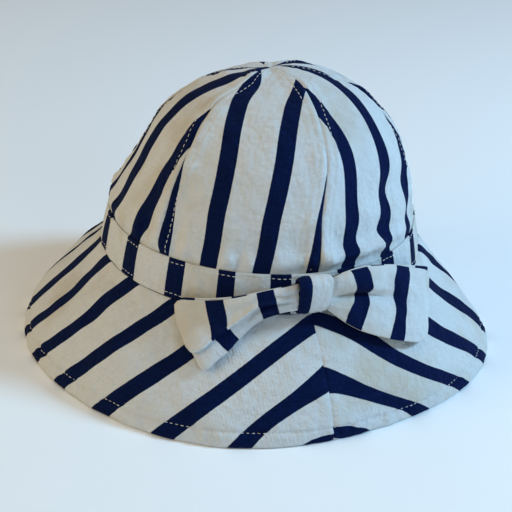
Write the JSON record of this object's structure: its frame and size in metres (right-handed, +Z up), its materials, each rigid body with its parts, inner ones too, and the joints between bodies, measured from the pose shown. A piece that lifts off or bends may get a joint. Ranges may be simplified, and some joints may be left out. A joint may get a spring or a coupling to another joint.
{
  "type": "sun hat",
  "caption": "Soft striped cotton sun hat for a toddler: gored crown, topstitched band, down-turned bell brim cut in a chevron, and a flat bow at the front.",
  "frame": {"origin": "on the table under the middle of the hat, at the height of the brim's edge", "axes": "+Z up through the top of the crown, -Y towards the bow and the wearer's face, +X to the right seen from the front"},
  "size_m": [0.2392, 0.2392, 0.1406],
  "materials": {
    "striped_cotton": "plain-woven cotton, off-white with woven navy stripes about 10 mm wide every 27 mm",
    "lining_cotton": "thin plain off-white cotton, matt",
    "interlining": "stiff non-woven, never seen",
    "sewing_thread": "off-white spun sewing thread",
    "label_tape": "blank woven tape with a slight satin sheen"
  },
  "bodies": {
    "hat": {"crown_gore_front_left": "striped_cotton", "crown_gore_left": "striped_cotton", "crown_gore_back_left": "striped_cotton", "crown_gore_back_right": "striped_cotton", "crown_gore_right": "striped_cotton", "crown_gore_front_right": "striped_cotton", "lining_gore_front_left": "lining_cotton", "lining_gore_left": "lining_cotton", "lining_gore_back_left": "lining_cotton", "lining_gore_back_right": "lining_cotton", "lining_gore_right": "lining_cotton", "lining_gore_front_right": "lining_cotton", "hat_band": "striped_cotton", "sweatband": "lining_cotton", "size_label": "label_tape", "brim_upper_left": "striped_cotton", "brim_upper_right": "striped_cotton", "brim_under_left": "lining_cotton", "brim_under_right": "lining_cotton", "brim_interlining": "interlining", "bow_knot": "striped_cotton", "bow_middle": "striped_cotton", "crown_topstitch": "sewing_thread", "band_topstitch": "sewing_thread", "brim_topstitch": "sewing_thread", "bow_tack_stitches": "sewing_thread"},
    "left_loop": {"bow_left_loop": "striped_cotton"},
    "right_loop": {"bow_right_loop": "striped_cotton"}
  },
  "joints": [
    {"name": "left_loop_swing", "type": "hinge", "parent": "hat", "child": "left_loop", "pos_m": [-0.0168, -0.0864, 0.057], "axis": [0, 0, 1], "range_deg": [0, 35], "stiffness_Nm_per_rad": 0.003},
    {"name": "right_loop_swing", "type": "hinge", "parent": "hat", "child": "right_loop", "pos_m": [0.0092, -0.0868, 0.058], "axis": [0, 0, -1], "range_deg": [0, 35], "stiffness_Nm_per_rad": 0.003}
  ]
}
